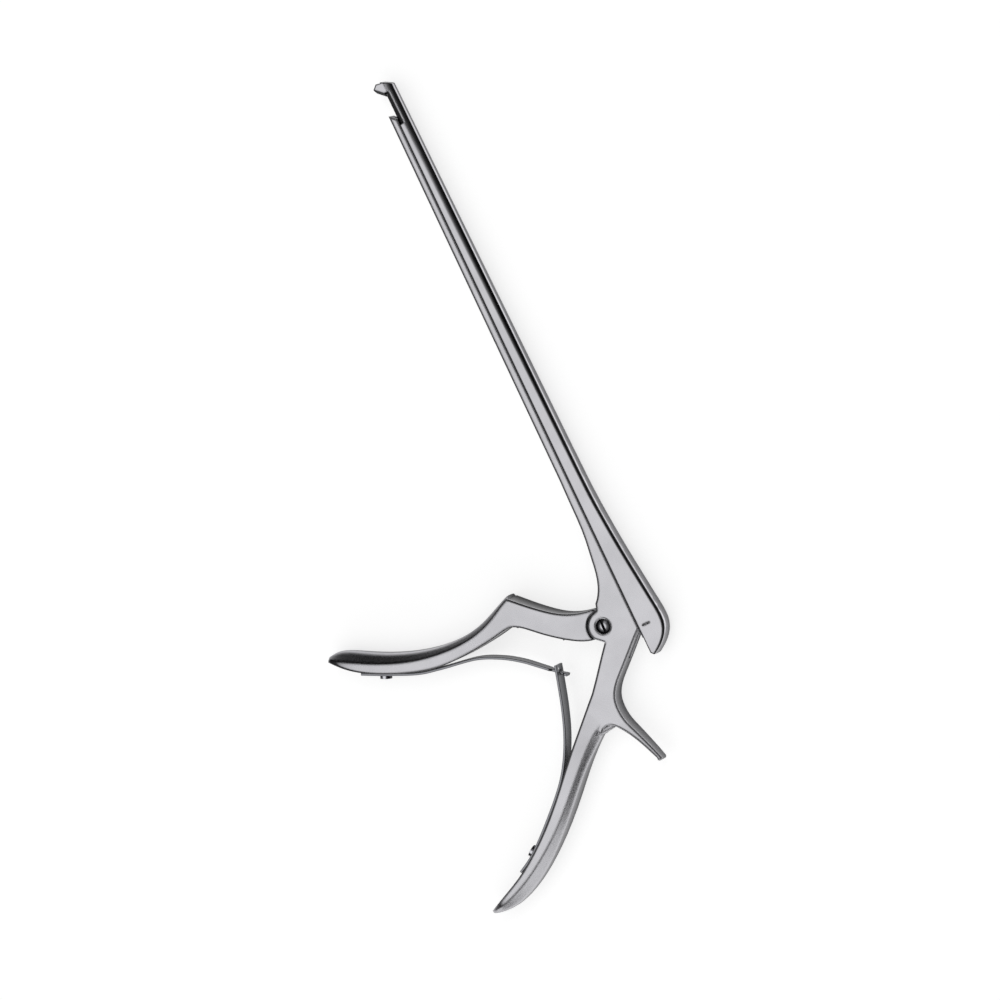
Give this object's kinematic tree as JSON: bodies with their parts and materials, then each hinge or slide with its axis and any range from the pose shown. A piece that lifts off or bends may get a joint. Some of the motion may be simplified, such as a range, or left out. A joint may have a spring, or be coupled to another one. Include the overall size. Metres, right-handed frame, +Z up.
{
  "type": "bone rongeur",
  "caption": "Bone punch with a long fixed bar, a slide that carries a down-turned hook and is drawn back by squeezing two leaf-sprung handles.",
  "frame": {"origin": "on the pivot axis, in the lower side flat of the body, the instrument lying on its side", "axes": "+X along the shaft from the hook to the handles, +Y away from the handles, +Z up, along the pivot axis"},
  "size_m": [0.2854, 0.1228, 0.012],
  "materials": {
    "satin_steel": "satin",
    "spring_steel": "satin",
    "screw_steel": "turned"
  },
  "bodies": {
    "frame": {"frame": "satin_steel", "pivot_screw": "screw_steel", "rear_leaf_spring": "spring_steel", "rear_spring_screw": "screw_steel"},
    "front_handle": {"front_handle": "satin_steel", "drive_pin": "satin_steel", "front_leaf_spring": "spring_steel", "front_spring_screw": "screw_steel"},
    "slide": {"slide_bar": "satin_steel", "drive_arm": "satin_steel", "arm_pin": "satin_steel"}
  },
  "joints": [
    {"name": "handle_squeeze", "type": "hinge", "parent": "frame", "child": "front_handle", "pos_m": [0, 0, 0.004], "axis": [0, 0, 1], "range_deg": [0, 36], "stiffness_Nm_per_rad": 2, "springref_deg": -5.73, "deforming": ["front_leaf_spring", "rear_leaf_spring"]},
    {"name": "slide_travel", "type": "slide", "parent": "frame", "child": "slide", "axis": [1, 0, 0], "range_m": [0, 0.00866]}
  ],
  "couplings": [
    {"joint": "slide_travel", "follows": "handle_squeeze", "m_per_rad": 0.013771}
  ]
}
